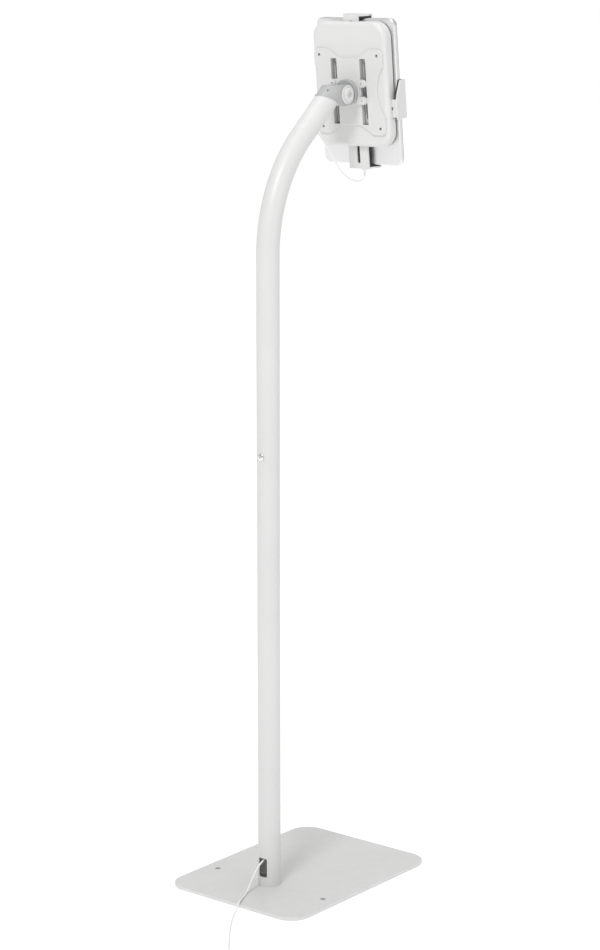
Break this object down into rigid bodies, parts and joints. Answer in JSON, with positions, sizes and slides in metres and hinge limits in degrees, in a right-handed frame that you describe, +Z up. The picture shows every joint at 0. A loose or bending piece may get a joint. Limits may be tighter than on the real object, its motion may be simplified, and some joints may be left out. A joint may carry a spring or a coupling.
{
  "type": "tablet floor stand",
  "caption": "Floor stand with a flat base, bent tube neck, tilting and turning head, clamp arms around a small tablet, and a charging cable run inside the tube.",
  "frame": {"origin": "on the floor, under the middle of the base plate", "axes": "+Z up; the screen faces -Y, the neck leans forward towards -Y; +X is the stand's own left as it faces -Y, which is on the right of someone in front of the screen"},
  "size_m": [0.3178, 0.4819, 1.2185],
  "materials": {
    "powder_coat": "fine satin powder coat, off-white",
    "bracket_grey": "satin grey coat on a cast bracket",
    "casing": "fine satin powder coat on formed sheet",
    "zinc_steel": "zinc plated steel",
    "chrome_screw": "polished chrome",
    "rubber": "matt black rubber",
    "nylon": "natural nylon",
    "tablet_metal": "fine blasted anodised aluminium",
    "tablet_glass": "polished cover glass with a dark border",
    "display": "dark display panel, switched off",
    "dark_plastic": "black plastic",
    "board_green": "printed circuit board",
    "cable_white": "soft white cable jacket",
    "plug_white": "moulded white plastic"
  },
  "bodies": {
    "stand": {"floor_pad": "rubber", "base_plate": "powder_coat", "base_screw": "zinc_steel", "foot_plug": "zinc_steel", "lower_tube": "powder_coat", "coupling_sleeve": "zinc_steel", "joint_screw": "chrome_screw", "upper_tube": "powder_coat", "neck_grommet": "rubber", "neck_bracket": "bracket_grey", "bracket_grub_screw": "zinc_steel", "pivot_bolt": "powder_coat", "pivot_washers": "powder_coat", "pivot_nut": "zinc_steel", "friction_washers": "nylon", "cable_inside": "cable_white", "cable_loop_neck": "cable_white", "cable_floor": "cable_white", "cable_coil": "cable_white", "coil_tie": "cable_white", "cable_tail": "cable_white", "usb_plug": "plug_white"},
    "knuckle": {"knuckle": "bracket_grey", "swivel_retainer": "zinc_steel", "swivel_screw": "zinc_steel"},
    "head": {"hub_flange": "powder_coat", "hub_screws": "powder_coat", "hub_nuts": "zinc_steel", "vesa_plate": "powder_coat", "plate_screws": "zinc_steel", "case_rear_shell": "casing", "case_front_cover": "casing", "case_screws": "zinc_steel", "case_pads": "rubber", "guide_plate": "zinc_steel", "guide_screws": "zinc_steel", "tablet_shell": "tablet_metal", "tablet_glass": "tablet_glass", "tablet_display": "display", "tablet_battery": "dark_plastic", "tablet_board": "board_green", "tablet_camera": "dark_plastic", "tablet_port": "tablet_metal", "charging_plug": "plug_white", "cable_loop_head": "cable_white"},
    "top_clamp": {"top_arm": "powder_coat", "top_pad": "rubber"},
    "bottom_clamp": {"bottom_arm": "powder_coat", "bottom_pad": "rubber"},
    "left_clamp": {"left_arm": "powder_coat", "left_pad": "rubber"},
    "right_clamp": {"right_arm": "powder_coat", "right_pad": "rubber"},
    "home_button": {"home_button": "tablet_glass"},
    "power_button": {"power_button": "tablet_metal"},
    "volume_rocker": {"volume_rocker": "tablet_metal"}
  },
  "joints": [
    {"name": "head_tilt", "type": "hinge", "parent": "stand", "child": "knuckle", "pos_m": [0, -0.08389, 1.1092], "axis": [-1, 0, 0], "range_deg": [-30, 50], "deforming": ["cable_loop_neck"]},
    {"name": "head_swivel", "type": "hinge", "parent": "knuckle", "child": "head", "pos_m": [0, -0.10974, 1.11192], "axis": [0, -0.9945, 0.1045], "range_deg": [-90, 90], "deforming": ["cable_loop_head"]},
    {"name": "top_clamp_slide", "type": "slide", "parent": "head", "child": "top_clamp", "axis": [0, 0.1045, 0.9945], "range_m": [0, 0.025]},
    {"name": "bottom_clamp_slide", "type": "slide", "parent": "head", "child": "bottom_clamp", "axis": [0, -0.1045, -0.9945], "range_m": [0, 0.008]},
    {"name": "left_clamp_slide", "type": "slide", "parent": "head", "child": "left_clamp", "axis": [1, 0, 0], "range_m": [0, 0.025]},
    {"name": "right_clamp_slide", "type": "slide", "parent": "head", "child": "right_clamp", "axis": [-1, 0, 0], "range_m": [0, 0.025]},
    {"name": "home_button_press", "type": "slide", "parent": "head", "child": "home_button", "axis": [0, 0.9945, -0.1045], "range_m": [0, 0.0003], "stiffness_N_per_m": 1500},
    {"name": "power_button_press", "type": "slide", "parent": "head", "child": "power_button", "axis": [0, -0.1045, -0.9945], "range_m": [0, 0.0004], "stiffness_N_per_m": 1500},
    {"name": "volume_rocker_press", "type": "slide", "parent": "head", "child": "volume_rocker", "axis": [-1, 0, 0], "range_m": [0, 0.0004], "stiffness_N_per_m": 1500}
  ]
}
